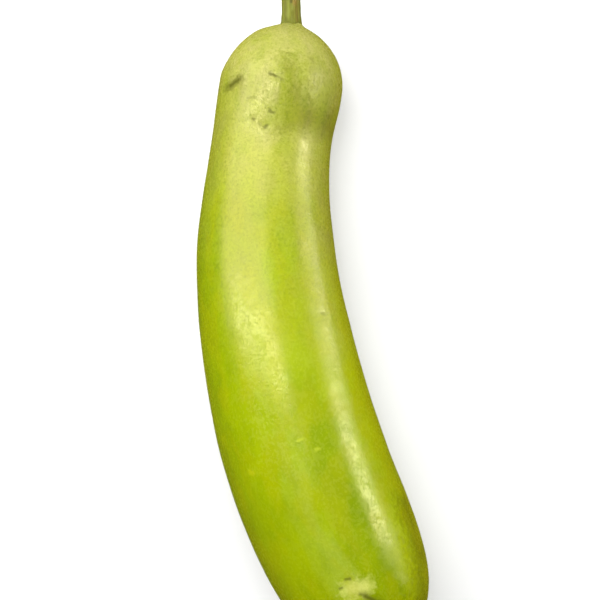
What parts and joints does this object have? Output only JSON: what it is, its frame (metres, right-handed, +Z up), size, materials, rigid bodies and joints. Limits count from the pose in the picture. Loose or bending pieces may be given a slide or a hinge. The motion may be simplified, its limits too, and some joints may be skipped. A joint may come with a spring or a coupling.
{
  "type": "bottle gourd",
  "caption": "Long, gently bent bottle gourd with a rounded head, slight neck and fuller blossom end, lying on its side with its cut stem.",
  "frame": {"origin": "on the surface that the gourd lies on, under the middle of the whole object's box", "axes": "+Z up; +Y towards the stem, along the longest extent; +X towards the inside of the bend, where the blossom end points"},
  "size_m": [0.1228, 0.3802, 0.0867],
  "materials": {
    "gourd_skin": "satin",
    "stem": "matte"
  },
  "bodies": {
    "root": {"fruit": "gourd_skin", "stem": "stem"}
  },
  "joints": []
}
